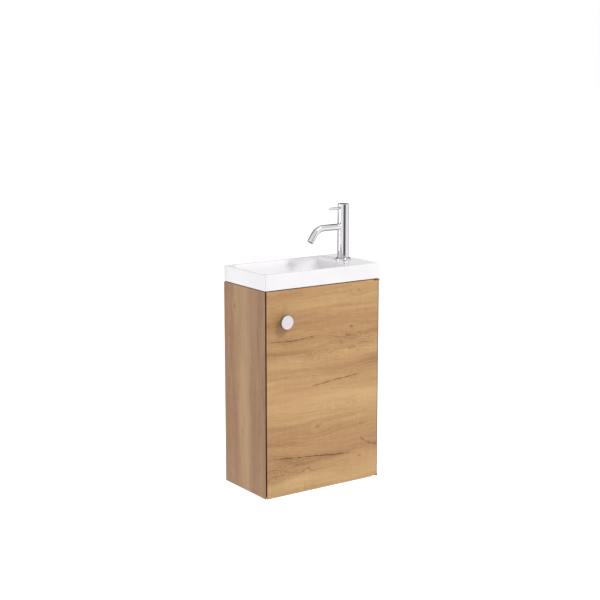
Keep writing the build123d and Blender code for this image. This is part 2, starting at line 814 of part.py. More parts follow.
with BuildPart() as tap_body:
    rod(level(body_low), [(tap_x, tap_y)], tap_body_radius, body_high - body_low)
    chamfer(tap_body.faces().sort_by(Axis.Z)[-1].edges(), tap_seam)
    for low, high, radius in (
        (chamber_low, body_high, tap_bore_radius),
        (body_low, chamber_low, shank_bore),
        (body_low, basin_top + shank_socket, shank_radius),
    ):
        with BuildSketch(level(low)):
            with Locations((tap_x, tap_y)):
                Circle(radius)
        extrude(amount=high - low, mode=Mode.SUBTRACT)
    spout_side = Plane(origin=(tap_x, tap_y, base_z), x_dir=(0, 1, 0), z_dir=(-1, 0, 0))
    for start, stop, radius in (
        (0, tap_bore_radius, spout_bore),
        (tap_bore_radius, tap_body_radius, spout_radius),
    ):
        with BuildSketch(spout_side.offset(start)):
            with Locations((0, -spout_height)):
                Circle(radius)
        extrude(amount=stop - start, mode=Mode.SUBTRACT)
tap_body.part.label = "tap_body"
export_step(tap_body.part, "parts/tap_body.step")

with BuildPart() as tap_cartridge:
    cartridge_low = body_high - cartridge_length
    rod(level(cartridge_low), [(tap_x, tap_y)], tap_bore_radius, cartridge_length)
    with BuildSketch(level(body_high - spindle_in_cartridge)):
        with Locations((tap_x, tap_y)):
            Circle(spindle_radius + spindle_clearance)
    extrude(amount=spindle_in_cartridge, mode=Mode.SUBTRACT)
tap_cartridge.part.label = "tap_cartridge"
export_step(tap_cartridge.part, "parts/tap_cartridge.step")

handle_low = body_high + tap_seam
handle_high = basin_top + tap_handle_top
handle_roof = handle_high - tap_handle_roof
with BuildPart() as tap_spindle:
    spindle_low = body_high - spindle_in_cartridge + tap_seam
    spindle_high = handle_roof + tap_handle_roof / 2
    rod(level(spindle_low), [(tap_x, tap_y)], spindle_radius, spindle_high - spindle_low)
tap_spindle.part.label = "tap_spindle"
export_step(tap_spindle.part, "parts/tap_spindle.step")

with BuildPart() as tap_lever:
    lever_side = Plane(origin=(tap_x, tap_y, base_z), x_dir=(0, 1, 0), z_dir=(-1, 0, 0))
    with BuildSketch(lever_side.offset(lever_root)):
        with Locations((0, -(basin_top + lever_height))):
            Circle(lever_radius)
    extrude(amount=lever_reach - lever_root)
    fillet(tap_lever.faces().sort_by(Axis.X)[0].edges(), tap_edge_chamfer)
tap_lever.part.label = "tap_lever"
export_step(tap_lever.part, "parts/tap_lever.step")

with BuildPart() as tap_handle:
    rod(level(handle_low), [(tap_x, tap_y)], tap_body_radius, handle_high - handle_low)
    chamfer(tap_handle.faces().sort_by(Axis.Z)[-1].edges(), tap_edge_chamfer)
    with BuildSketch(level(handle_low)):
        with Locations((tap_x, tap_y)):
            Circle(tap_handle_bore)
    extrude(amount=handle_roof - handle_low, mode=Mode.SUBTRACT)
    add(tap_spindle.part, mode=Mode.SUBTRACT)
    add(tap_lever.part, mode=Mode.SUBTRACT)
tap_handle.part.label = "tap_handle"
export_step(tap_handle.part, "parts/tap_handle.step")

with BuildPart() as tap_base_ring:
    with BuildSketch(level(basin_top)):
        with Locations((tap_x, tap_y)):
            Circle(tap_ring_radius)
            Circle(tap_body_radius, mode=Mode.SUBTRACT)
    extrude(amount=tap_ring_height)
    ring_top = tap_base_ring.faces().sort_by(Axis.Z)[-1]
    fillet(ring_top.edges().sort_by(SortBy.RADIUS)[-1], tap_ring_round)
tap_base_ring.part.label = "tap_base_ring"
export_step(tap_base_ring.part, "parts/tap_base_ring.step")

with BuildPart() as tap_seal:
    with BuildSketch(level(basin_top)):
        with Locations((tap_x, tap_y)):
            Circle(tap_seal_radius)
            Circle(shank_radius, mode=Mode.SUBTRACT)
    extrude(amount=tap_seal_height)
tap_seal.part.label = "tap_seal"
export_step(tap_seal.part, "parts/tap_seal.step")

deck_under = basin_top - deck_thickness
with BuildPart() as tap_washer:
    with BuildSketch(level(deck_under - tap_washer_height)):
        with Locations((tap_x, tap_y)):
            Circle(tap_washer_radius)
            Circle(shank_radius, mode=Mode.SUBTRACT)
    extrude(amount=tap_washer_height)
tap_washer.part.label = "tap_washer"
export_step(tap_washer.part, "parts/tap_washer.step")

with BuildPart() as tap_backnut:
    with BuildSketch(level(deck_under - tap_washer_height - backnut_height)):
        with Locations((tap_x, tap_y)):
            RegularPolygon(backnut_flats / 2, 6, major_radius=False)
            Circle(shank_radius, mode=Mode.SUBTRACT)
    extrude(amount=backnut_height)
tap_backnut.part.label = "tap_backnut"
export_step(tap_backnut.part, "parts/tap_backnut.step")

# Waste: flanged body with its guide barrel, push plug, seals and backnut
waste_at = (bowl_center_x, bowl_y)
stem_tip = floor_height + plug_travel - plug_stem_length
barrel_top = floor_height - waste_barrel_drop

with BuildPart() as waste_body:
    rod(level(flange_low), [waste_at], waste_flange_radius, waste_flange_height)
    fillet(waste_body.faces().sort_by(Axis.Z)[-1].edges(), waste_flange_round)
    rod(level(waste_low), [waste_at], waste_radius, waste_length)
    with BuildSketch(level(waste_low)):
        with Locations(waste_at):
            Circle(waste_bore)
    extrude(amount=floor_height - waste_low, mode=Mode.SUBTRACT)
    rod(level(barrel_top - waste_barrel_length), [waste_at], waste_barrel_radius, waste_barrel_length)
    with BuildSketch(level(barrel_top - waste_rib_height)):
        with Locations(waste_at):
            Circle(waste_bore + waste_rib_root)
            Circle(waste_bore, mode=Mode.SUBTRACT)
            for turn in (0, 120, 240):
                with Locations(Location((0, 0), turn)):
                    Rectangle(waste_bore, waste_rib, align=(Align.MIN, Align.CENTER))
    extrude(amount=waste_rib_height)
    with BuildSketch(level(barrel_top)):
        with Locations(waste_at):
            Circle(plug_stem_radius + plug_stem_clearance)
    extrude(amount=-(barrel_top - stem_tip + plug_travel + tap_seam), mode=Mode.SUBTRACT)
waste_body.part.label = "waste_body"
export_step(waste_body.part, "parts/waste_body.step")

with BuildPart() as waste_plug:
    plug_low = floor_height + plug_travel
    rod(level(plug_low), [waste_at], plug_radius, plug_height)
    fillet(waste_plug.faces().sort_by(Axis.Z)[-1].edges(), plug_height / 2)
    rod(level(stem_tip), [waste_at], plug_stem_radius, plug_stem_length)
waste_plug.part.label = "waste_plug"
export_step(waste_plug.part, "parts/waste_plug.step")

seal_low = flange_low - waste_seal_height
lower_washer = outer_floor - waste_washer_height
for name, low, height, outer, inner in (
    ("waste_seal", seal_low, waste_seal_height, waste_flange_radius, waste_hole_radius),
    ("waste_washer", lower_washer, waste_washer_height, waste_nut_flats / 2, waste_radius),
):
    with BuildPart() as waste_ring:
        with BuildSketch(level(low)):
            with Locations(waste_at):
                Circle(outer)
                Circle(inner, mode=Mode.SUBTRACT)
        extrude(amount=height)
    waste_ring.part.label = name
    export_step(waste_ring.part, f"parts/{name}.step")

with BuildPart() as waste_backnut:
    with BuildSketch(level(lower_washer - waste_nut_height)):
        with Locations(waste_at):
            RegularPolygon(waste_nut_flats / 2, 6, major_radius=False)
            Circle(waste_radius, mode=Mode.SUBTRACT)
    extrude(amount=waste_nut_height)
waste_backnut.part.label = "waste_backnut"
export_step(waste_backnut.part, "parts/waste_backnut.step")

# Bottle trap with its outlet through the open back
trap_outlet_height = trap_body_top - trap_outlet_drop
trap_dip_end = cup_bottom + trap_dip_clearance
boss_radius = trap_pipe_radius + trap_wall
boss_end = bowl_y + trap_body_radius + trap_outlet_boss
outlet_axis = Plane(origin=(bowl_center_x, bowl_y, base_z), x_dir=(1, 0, 0), z_dir=(0, 1, 0))


def outlet_tube(start, stop, outer, inner):
    """Add a tube along the outlet's axis, between two distances from the trap's own axis."""
    with BuildSketch(outlet_axis.offset(start)) as ring:
        with Locations((0, -trap_outlet_height)):
            Circle(outer)
            Circle(inner, mode=Mode.SUBTRACT)
    extrude(ring.sketch, amount=stop - start)


with BuildPart() as trap_inlet_pipe:
    with BuildSketch(level(trap_dip_end)):
        with Locations(waste_at):
            Circle(trap_pipe_radius)
            Circle(trap_pipe_radius - trap_wall, mode=Mode.SUBTRACT)
    extrude(amount=waste_low - trap_dip_end)
trap_inlet_pipe.part.label = "trap_inlet_pipe"
export_step(trap_inlet_pipe.part, "parts/trap_inlet_pipe.step")

with BuildPart() as trap_inlet_nut:
    rod(level(waste_low - trap_nut_height / 2), [waste_at], trap_nut_radius, trap_nut_height)
    chamfer(trap_inlet_nut.edges().filter_by(GeomType.CIRCLE), tap_edge_chamfer)
    with BuildSketch(level(waste_low)):
        with Locations(waste_at):
            Circle(waste_radius)
    extrude(amount=trap_nut_height / 2, mode=Mode.SUBTRACT)
    with BuildSketch(level(waste_low - trap_nut_height / 2)):
        with Locations(waste_at):
            Circle(trap_pipe_radius)
    extrude(amount=trap_nut_height / 2, mode=Mode.SUBTRACT)
trap_inlet_nut.part.label = "trap_inlet_nut"
export_step(trap_inlet_nut.part, "parts/trap_inlet_nut.step")

with BuildPart() as trap_body:
    rod(level(body_bottom), [waste_at], trap_body_radius, trap_body_height)
    fillet(trap_body.faces().sort_by(Axis.Z)[-1].edges(), 2 * trap_wall)
    rod(level(trap_body_top), [waste_at], trap_collar_radius, trap_collar_height)
    with BuildSketch(outlet_axis):
        with Locations((0, -trap_outlet_height)):
            Circle(boss_radius)
    extrude(amount=boss_end - bowl_y)
    with BuildSketch(level(body_bottom)):
        with Locations(waste_at):
            Circle(trap_body_radius - trap_wall)
    extrude(amount=trap_body_height - 2 * trap_wall, mode=Mode.SUBTRACT)
    with BuildSketch(level(body_bottom)):
        with Locations(waste_at):
            Circle(trap_pipe_radius)
    extrude(amount=trap_body_height + trap_collar_height, mode=Mode.SUBTRACT)
    with BuildSketch(outlet_axis):
        with Locations((0, -trap_outlet_height)):
            Circle(trap_pipe_radius)
    extrude(amount=boss_end - bowl_y, mode=Mode.SUBTRACT)
trap_body.part.label = "trap_body"
export_step(trap_body.part, "parts/trap_body.step")

with BuildPart() as trap_outlet_pipe:
    pipe_start = boss_end - bowl_y - trap_outlet_boss / 2
    nut_end = boss_end - bowl_y + trap_outlet_nut_length / 2
    pipe_bore = trap_pipe_radius - trap_wall
    outlet_tube(pipe_start, -bowl_y - trap_outlet_wall_gap, trap_pipe_radius, pipe_bore)
    outlet_tube(nut_end, nut_end + trap_bead_length, trap_bead_radius, pipe_bore)
trap_outlet_pipe.part.label = "trap_outlet_pipe"
export_step(trap_outlet_pipe.part, "parts/trap_outlet_pipe.step")

with BuildPart() as trap_outlet_nut:
    nut_start = boss_end - bowl_y - trap_outlet_nut_length / 2
    boss_stop = boss_end - bowl_y
    outlet_tube(nut_start, boss_stop, trap_outlet_nut_radius, boss_radius)
    outlet_tube(boss_stop, boss_stop + trap_outlet_nut_length / 2, trap_outlet_nut_radius, trap_pipe_radius)
trap_outlet_nut.part.label = "trap_outlet_nut"
export_step(trap_outlet_nut.part, "parts/trap_outlet_nut.step")

with BuildPart() as trap_cup:
    rod(level(cup_bottom), [waste_at], trap_cup_radius, trap_cup_height)
    fillet(trap_cup.faces().sort_by(Axis.Z)[0].edges(), 2 * trap_wall)
    with BuildSketch(level(body_bottom - trap_grip_height)):
        with Locations(waste_at):
            Circle(trap_grip_radius)
            with PolarLocations(trap_grip_radius, trap_grip_flutes):
                Circle(trap_wall / 2, mode=Mode.SUBTRACT)
    extrude(amount=trap_grip_height)
    with BuildSketch(level(cup_bottom + trap_wall)):
        with Locations(waste_at):
            Circle(trap_cup_radius - trap_wall)
    extrude(amount=trap_cup_height - trap_wall, mode=Mode.SUBTRACT)
trap_cup.part.label = "trap_cup"
export_step(trap_cup.part, "parts/trap_cup.step")

# Door with its knob and bumpers
knob_at = (knob_from_left - half_width, knob_height)
with BuildPart() as knob_screw:
    rod(facing_front(door_back), [knob_at], knob_screw_radius, door_thickness + knob_screw_in_knob)
    rod(facing_front(door_back), [knob_at], knob_screw_head_radius, knob_screw_head_height)

with BuildPart() as door_knob:
    rod(facing_front(front), [knob_at], knob_neck_radius, knob_neck)
    rod(facing_front(front - knob_neck), [knob_at], knob_radius, knob_disc)
    rims = door_knob.edges().filter_by(GeomType.CIRCLE).sort_by(SortBy.RADIUS)[-2:]
    fillet(rims, knob_edge)
    add(knob_screw.part, mode=Mode.SUBTRACT)
door_knob.part.label = "door_knob"
export_step(door_knob.part, "parts/door_knob.step")

with BuildPart() as door_bumpers:
    bumper_x = bumper_from_side - half_width
    with BuildSketch(Plane(origin=(0, door_back, base_z), x_dir=(1, 0, 0), z_dir=(0, 1, 0))):
        with Locations((bumper_x, -board / 2), (bumper_x, board / 2 - carcass_height)):
            Circle(bumper_radius)
    extrude(amount=bumper_height)
    for dome in door_bumpers.faces().sort_by(Axis.Y)[-2:]:
        fillet(dome.edges(), bumper_height / 2)
door_bumpers.part.label = "door_bumpers"
export_step(door_bumpers.part, "parts/door_bumpers.step")

with BuildPart() as door_panel:
    with BuildSketch(level(0)):
        with BuildLine():
            tip_x = half_width - mitre_tip
            Polyline(
                (-tip_x, front),
                (tip_x, front),
                (tip_x - door_thickness, door_back),
                (door_thickness - tip_x, door_back),
                close=True,
            )
        make_face()
    extrude(amount=carcass_height)
    fillet(door_panel.faces().sort_by(Axis.Y)[0].edges(), edge_round)
    plate(door_leaf_face(0), 0, stack, Mode.SUBTRACT)
    plate(door_leaf_face(0), carcass_height - stack, stack, Mode.SUBTRACT)
    plate(fixed_leaf_face(leaf_relief), 0, leaf_thickness + leaf_relief, Mode.SUBTRACT)
    relief_low = fixed_leaf_high - leaf_relief
    plate(fixed_leaf_face(leaf_relief), relief_low, leaf_thickness + leaf_relief, Mode.SUBTRACT)
    for fitting in (hinge_screws_door, knob_screw, strike_screws):
        add(fitting.part, mode=Mode.SUBTRACT)
door_panel.part.label = "door_panel"
export_step(door_panel.part, "parts/door_panel.step")

# Cross recesses in the screw heads, cut once the screws' holes are made
door_screw_top = door_leaf_high + leaf_thickness
fixed_heads = ((level(0), 1), (level(carcass_height), -1))
door_heads = ((level(door_leaf_low), 1), (level(door_screw_top), -1))
hanger_heads = ((upright(hanger_head_x, 0), 1), (upright(-hanger_head_x, 0), -1))
catch_heads = ((upright(catch_head_x, 0), -1),)
for name, screws, spots, heads in (
    ("hinge_screws_cabinet", hinge_screws_cabinet, fixed_screw_spots, fixed_heads),
    ("hinge_screws_door", hinge_screws_door, door_screw_spots, door_heads),
    ("hanger_screws", hanger_screws, hanger_spots, hanger_heads),
    ("catch_screws", catch_screws, catch_spots, catch_heads),
    ("strike_screws", strike_screws, strike_spots, ((strike_face, 1),)),
    ("knob_screw", knob_screw, [knob_at], ((facing_front(door_back), 1),)),
):
    with BuildPart() as driven:
        add(screws.part)
        for head_plane, direction in heads:
            with BuildSketch(head_plane):
                with Locations(*spots):
                    Rectangle(drive_length, drive_width)
                    Rectangle(drive_width, drive_length)
            extrude(amount=direction * drive_depth, mode=Mode.SUBTRACT)
    driven.part.label = name
    export_step(driven.part, f"parts/{name}.step")
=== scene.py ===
"""Looks of the wall-hung cloakroom vanity unit: materials, light and camera.

Metres, in the CAD model's own frame: +X to the right, +Y into the wall, +Z up, origin on the wall plane.
"""

import json
import math

import bmesh
import bpy
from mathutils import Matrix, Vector


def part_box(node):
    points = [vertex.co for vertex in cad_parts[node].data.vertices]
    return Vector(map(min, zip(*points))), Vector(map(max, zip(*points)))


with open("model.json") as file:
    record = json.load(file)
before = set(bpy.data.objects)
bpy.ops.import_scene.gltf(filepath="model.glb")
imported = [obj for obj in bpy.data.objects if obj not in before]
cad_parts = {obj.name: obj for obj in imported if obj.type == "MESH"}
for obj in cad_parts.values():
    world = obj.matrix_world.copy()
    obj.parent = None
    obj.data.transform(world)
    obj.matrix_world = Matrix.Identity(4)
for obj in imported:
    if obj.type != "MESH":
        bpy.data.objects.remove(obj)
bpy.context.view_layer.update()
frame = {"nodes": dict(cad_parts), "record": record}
nodes = frame["nodes"]

# Places that the frame gives
door_low, door_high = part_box("door_panel")
left_low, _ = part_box("side_panel_left")
right_low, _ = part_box("side_panel_right")
basin_low, basin_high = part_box("basin")
knob_low, knob_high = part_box("door_knob")

# Camera, measured from the photograph's perspective
CAMERA_AT = Vector((-2.2099, -3.3032, 0.7051))
CAMERA_YAW = math.radians(34.595)
CAMERA_PITCH = math.radians(10.64)
CAMERA_LENS = 80.87

# Floor: half its side and its drop below the cabinet in metres, and its glow to camera and reflections
FLOOR_HALF = 30.0
FLOOR_DROP = 0.20
FLOOR_GLOW = 0.55

# Strength of the world's light on the object
WORLD_LIGHT = 0.62

# Lamps: name, place, point that it faces, side in metres, power in watts
LAMPS = (
    ("key", (0.55, -2.45, 2.6), (0, -0.1, -0.2), 0.75, 53.0),
    ("side", (-1.7, 0.95, -0.15), (0, -0.1, -0.2), 1.1, 11.0),
    ("top", (0.2, 0.1, 2.2), (0, -0.1, 0.0), 1.4, 2.5),
)

# Cards that metal and glaze reflect: name, centre, width and height, shade, tilt from level in degrees
CARDS = (
    ("front_flag", (-0.16, -1.81, -0.25), (1.58, 1.5), 0.17, 90.0),
    ("high_flag", (0.9, 0.8, 0.78), (3.2, 0.88), 0.17, 90.0),
    ("gap_card", (0.9, 0.82, 0.22), (3.2, 0.26), 0.72, 90.0),
    ("ceiling_flag", (0.6, 0.58, 1.25), (3.2, 0.52), 0.25, 0.0),
    ("low_flag", (0.9, 0.8, -0.44), (3.2, 1.08), 0.12, 90.0),
)


def srgb(red, green, blue):
    """A display colour out of 255 as the linear colour that Blender works in."""
    linear = []
    for value in (red, green, blue):
        share = value / 255
        linear.append(share / 12.92 if share <= 0.04045 else ((share + 0.055) / 1.055) ** 2.4)
    return (*linear, 1.0)


WHITE = (1.0, 1.0, 1.0, 1.0)

# Oak decor, from light wood to the inside of a crack, with a painted shade for the gaps at the boards'
# edges
OAK_LIGHT = srgb(213, 175, 121)
OAK_MID = srgb(190, 150, 99)
OAK_DARK = srgb(156, 112, 68)
OAK_RED = srgb(190, 138, 96)
OAK_GAP_SHADE = srgb(116, 78, 47)
OAK_CRACK = srgb(84, 48, 22)

# How much of each channel the decor keeps on the door, the side panels and the boards inside; the side
# panels' share darkens them as painted shade
PLAIN_SHADE = (1.0, 1.0, 1.0)
SIDE_PAINTED_SHADE = (0.655, 0.62, 0.625)
INNER_SHADE = (0.96, 0.96, 0.96)

# How far the grain strays across a board, in metres: slowly, closely, and inside a flame
SWAY = 0.030
CURL = 0.009
WHORL = 0.085

# Layers of fibres: grains a metre along and across, noise detail, seed offset, weight in the tone
FIBRES = {
    "broad": (1.6, 20.0, 3.0, 10.0, 1.45),
    "band": (3.0, 75.0, 3.0, 20.0, 0.70),
    "streak": (7.0, 330.0, 3.0, 30.0, 0.50),
    "short": (42.0, 430.0, 3.0, 35.0, 0.75),
    "line": (26.0, 1500.0, 2.0, 40.0, 0.45),
}

# Rays across the grain and pale flakes: weights in the tone, and the fade of a band of flakes in metres
RAY_WEIGHT = 0.26
FLAKE_WEIGHT = 0.22
FLAKE_FADE = 0.012

# Growth lines in a flame: radians a metre, and weight in the tone
GROWTH_RATE = 900.0
GROWTH_WEIGHT = 0.42

# How much a patch of redder wood, a pore and the painted gap shade at a board's edge take of their own
# colour
BLUSH = 0.34
PORE_SHARE = 0.35
GAP_SHADE_SHARE = 0.75

# A crack's slow wander in metres, and its halo's width and darkness beside the core's
CRACK_WANDER = 0.006
HALO_WIDTH = 7.0
HALO_SHARE = 0.22

# Basin: glaze, its dim patches, the painted shade at the outline's vertical edges and the painted shade
# on the bowl's walls
GLAZE = srgb(248, 246, 248)
GLAZE_PATCH = srgb(244, 242, 244)
GLAZE_EDGE_SHADE = srgb(204, 202, 206)
GLAZE_BOWL_SHADE = srgb(239, 236, 239)
EDGE_SHADE_SHARE = 0.22

# Distances inside the basin's outline, in metres: where the painted shade at its vertical edges fades
# out, and where the bowl starts
EDGE_SHADE_IN = (0.0010, 0.0030)
RIM_IN = 0.009

# Depths below the deck, in metres, between which the painted shade in the bowl sets in
BOWL_SHADE_FROM = 0.002
BOWL_SHADE_TO = 0.022

# Bump heights in metres
OAK_RELIEF = 0.00012
GLAZE_RELIEF = 0.00025
METAL_RELIEF = 0.00003
KNOB_RELIEF = 0.00002
PLASTIC_RELIEF = 0.00004

# Knob: its turned rings, in grains a metre, its tones, and where the painted shade on its rim lies
# inside its edge
KNOB_RINGS = 5200.0
KNOB_DARK = srgb(224, 220, 224)
KNOB_LIGHT = srgb(240, 237, 241)
KNOB_RIM_SHADE = srgb(150, 144, 140)
KNOB_RIM_SHADE_IN = (0.0010, 0.0002)


class Graph:
    """A material's node tree, with one short call for each kind of node."""

    def __init__(self, name, **surface):
        self.material = bpy.data.materials.new(name)
        self.material.use_nodes = True
        self.tree = self.material.node_tree
        self.shader = self.tree.nodes["Principled BSDF"]
        for socket, value in surface.items():
            self.finish(socket, value)

    def put(self, node, socket, value):
        """Set an input to a number, or link it to another node's output."""
        if isinstance(value, bpy.types.NodeSocket):
            self.tree.links.new(value, node.inputs[socket])
        else:
            node.inputs[socket].default_value = value

    def finish(self, socket, value):
        """Set or link an input of the shader."""
        self.put(self.shader, socket.replace("_", " "), value)

    def make(self, kind, settings=None, **inputs):
        """A node of a kind, with its settings and its inputs by name."""
        node = self.tree.nodes.new("ShaderNode" + kind)
        for name, value in (settings or {}).items():
            setattr(node, name, value)
        for socket, value in inputs.items():
            self.put(node, socket.replace("_", " "), value)
        return node

    def math(self, operation, a, b=0.0, c=0.0, clamp=False):
        node = self.make("Math", {"operation": operation, "use_clamp": clamp})
        for index, value in enumerate((a, b, c)):
            self.put(node, index, value)
        return node.outputs[0]

    def add(self, a, b):
        return self.math("ADD", a, b)

    def minus(self, a, b):
        return self.math("SUBTRACT", a, b)

    def times(self, a, b):
        return self.math("MULTIPLY", a, b)

    def over(self, a, b):
        return self.math("DIVIDE", a, b)

    def blend_in(self, value, weight, base):
        """base, plus a weighted value."""
        return self.math("MULTIPLY_ADD", value, weight, base)

    def apart(self, a, b):
        """How far two values are from each other."""
        return self.math("ABSOLUTE", self.minus(a, b))

    def squares(self, a, b):
        """The sum of two squares."""
        return self.add(self.times(a, a), self.times(b, b))

    def centred(self, noise):
        """Noise moved so that its middle is zero."""
        return self.minus(noise, 0.5)

    def axes(self):
        """The point's own x, y and z, in metres."""
        place = self.make("TexCoord").outputs["Object"]
        return self.make("SeparateXYZ", Vector=place).outputs

    def vector(self, x, y, z):
        return self.make("CombineXYZ", X=x, Y=y, Z=z).outputs[0]

    def noise(self, vector, detail=2.0, roughness=0.5):
        node = self.make("TexNoise", Vector=vector, Scale=1.0, Detail=detail, Roughness=roughness)
        return node.outputs[0]

    def speckle(self, scale, seed, detail=2.0):
        """Noise over the piece at so many grains a metre."""
        x, y, z = self.axes()
        place = self.vector(*(self.blend_in(axis, scale, seed) for axis in (x, y, z)))
        return self.noise(place, detail)

    def smooth(self, value, low, high, start=0.0, stop=1.0):
        """A soft step from start to stop while value goes from low to high."""
        node = self.make("MapRange", {"interpolation_type": "SMOOTHSTEP"}, Value=value)
        limits = {"From Min": low, "From Max": high, "To Min": start, "To Max": stop}
        for socket, number in limits.items():
            self.put(node, socket, number)
        return node.outputs[0]

    def ramp(self, value, stops):
        """The colour at a value, between stops of (place, colour)."""
        node = self.make("ValToRGB", Fac=value)
        elements = node.color_ramp.elements
        while len(elements) < len(stops):
            elements.new(0.5)
        for element, (place, colour) in zip(elements, stops):
            element.position = place
            element.color = colour
        return node.outputs[0]

    def mix(self, share, a, b, blend="MIX"):
        """A share of colour b over colour a."""
        node = self.make("Mix", {"data_type": "RGBA", "blend_type": blend, "clamp_factor": True})
        for index, value in ((0, share), (6, a), (7, b)):
            self.put(node, index, value)
        return node.outputs[2]

    def bump(self, height, distance, strength):
        node = self.make("Bump", Height=height, Distance=distance, Strength=strength)
        self.finish("Normal", node.outputs[0])


class Oak(Graph):
    """Oak-look decor whose grain runs along one axis and bends round flames and knots.

    along and across are axis numbers. Places on the board are (along, across), in metres.
    """

    def __init__(self, name, along, across, seed):
        super().__init__(name)
        self.axis = self.axes()
        self.u = self.axis[along]
        self.v = self.axis[across]
        self.seed = seed
        self.sway = self.times(self.centred(self.patch(4.0, 9.0, 0.0)), SWAY)
        curl = self.times(self.centred(self.patch(11.0, 26.0, 3.0, 3.0)), CURL)
        self.grain = self.add(self.add(self.v, self.sway), curl)
        self.flame = 0.0
        self.dark = 0.0

    def patch(self, along_scale, across_scale, offset, detail=2.0):
        """Noise over the board, at so many grains a metre along and across."""
        place = self.vector(
            self.times(self.u, along_scale), self.times(self.v, across_scale), self.seed + offset
        )
        return self.noise(place, detail)

    def fibre(self, along_scale, across_scale, detail, offset):
        """Noise that follows the bent grain."""
        place = self.vector(
            self.times(self.u, along_scale), self.times(self.grain, across_scale), self.seed + offset
        )
        return self.noise(place, detail, 0.6)

    def add_flames(self, flames):
        """Stretches of curved growth lines, each with its place, half length and half width."""
        for flame_u, flame_v, half_length, half_width in flames:
            du = self.over(self.minus(self.u, flame_u), half_length)
            dv = self.over(self.minus(self.v, flame_v), half_width)
            inside = self.smooth(self.squares(du, dv), 0.15, 1.0, 1.0, 0.0)
            self.flame = self.add(self.flame, inside)
        whorl = self.times(self.centred(self.patch(8.5, 30.0, 5.4, 2.5)), WHORL)
        self.grain = self.blend_in(self.flame, whorl, self.grain)

    def add_knot(self, knot_u, knot_v, radius, darkness):
        """A dark eye that the grain passes round."""
        du = self.times(self.minus(self.u, knot_u), 0.55)
        dv = self.minus(self.v, knot_v)
        reach = self.squares(du, dv)
        push = self.times(dv, radius * radius * 5.0)
        self.grain = self.minus(self.grain, self.over(push, self.add(reach, radius * radius * 1.6)))
        eye = self.smooth(self.math("SQRT", reach), radius * 0.25, radius * 0.9, darkness, 0.0)
        self.dark = self.add(self.dark, eye)

    def add_crack(self, start_u, start_v, end_u, end_v, bow, half_width, darkness):
        """A dark line from start to end, bowed across the grain, faint in places and at its ends."""
        t = self.over(self.minus(self.u, start_u), end_u - start_u)
        arch = self.times(self.times(t, self.minus(1.0, t)), 4.0 * bow)
        line = self.add(self.blend_in(t, end_v - start_v, start_v), arch)
        wander_place = self.vector(self.times(self.u, 16.0), self.seed + start_v * 40.0, 0.0)
        wander = self.times(self.centred(self.noise(wander_place)), CRACK_WANDER)
        off = self.over(self.apart(self.minus(self.v, line), wander), half_width)
        patch_place = self.vector(self.times(self.u, 55.0), self.seed + start_v * 90.0, 7.0)
        patchy = self.smooth(self.noise(patch_place), 0.36, 0.56, 0.45, 1.0)
        ends = self.times(self.smooth(t, 0.0, 0.14), self.smooth(t, 0.78, 1.0, 1.0, 0.0))
        core = self.smooth(off, 0.35, 1.0, darkness, 0.0)
        halo = self.smooth(off, 0.0, HALO_WIDTH, darkness * HALO_SHARE, 0.0)
        depth = self.times(self.add(core, halo), self.times(ends, patchy))
        self.dark = self.add(self.dark, depth)

    def growth(self, short):
        """Dark growth lines inside the flames, broken up by the short fibres."""
        rings = self.smooth(self.math("SINE", self.times(self.grain, GROWTH_RATE)), 0.2, 1.0)
        contour = self.times(rings, self.smooth(short, 0.35, 0.60, 0.4, 1.0))
        return self.times(self.times(self.flame, GROWTH_WEIGHT), contour)

    def flakes(self, low, high):
        """Pale rays in a band of the board from low to high."""
        ray = self.smooth(self.fibre(38.0, 190.0, 2.0, 70.0), 0.57, 0.68, 0.0, FLAKE_WEIGHT)
        rise = self.smooth(self.v, low, low + FLAKE_FADE)
        fall = self.smooth(self.v, high - FLAKE_FADE, high, 1.0, 0.0)
        return self.times(ray, self.times(rise, fall))

    def bands(self, tones):
        """The share of light wood across the board, between stops of (place, share)."""
        low, high = tones[0][0], tones[-1][0]
        place = self.over(self.minus(self.add(self.v, self.sway), low), high - low)
        stops = [((at - low) / (high - low), (share, share, share, 1.0)) for at, share in tones]
        return self.make("RGBToBW", Color=self.ramp(place, stops)).outputs[0]

    def paint(self, tones, flake_bands, streaks, edges, shade):
        """Colour, gloss and relief from the fibres, the bent grain and the dark spots."""
        layers = {}
        tone = 0.50
        for name, (along_scale, across_scale, detail, offset, weight) in FIBRES.items():
            layers[name] = self.fibre(along_scale, across_scale, detail, offset)
            tone = self.blend_in(self.centred(layers[name]), weight, tone)
        pore = self.smooth(self.fibre(70.0, 2600.0, 1.0, 50.0), 0.60, 0.74)
        tone = self.blend_in(self.centred(self.patch(150.0, 14.0, 80.0)), RAY_WEIGHT, tone)
        tone = self.minus(tone, self.growth(layers["short"]))
        for low, high in flake_bands:
            tone = self.add(tone, self.flakes(low, high))
        if tones:
            tone = self.add(tone, self.centred(self.bands(tones)))
        tone = self.math("ADD", tone, 0.0, clamp=True)

        colour = self.ramp(tone, ((0.0, OAK_DARK), (0.5, OAK_MID), (1.0, OAK_LIGHT)))
        blush = self.smooth(self.patch(2.4, 10.0, 60.0), 0.42, 0.68, 0.0, BLUSH)
        colour = self.mix(blush, colour, OAK_RED)
        for middle, half_width, strength in streaks:
            off = self.apart(self.grain, middle)
            share = self.smooth(off, half_width * 0.2, half_width, strength, 0.0)
            colour = self.mix(share, colour, OAK_RED)
        colour = self.mix(self.times(pore, PORE_SHARE), colour, OAK_DARK)
        colour = self.mix(self.dark, colour, OAK_CRACK)
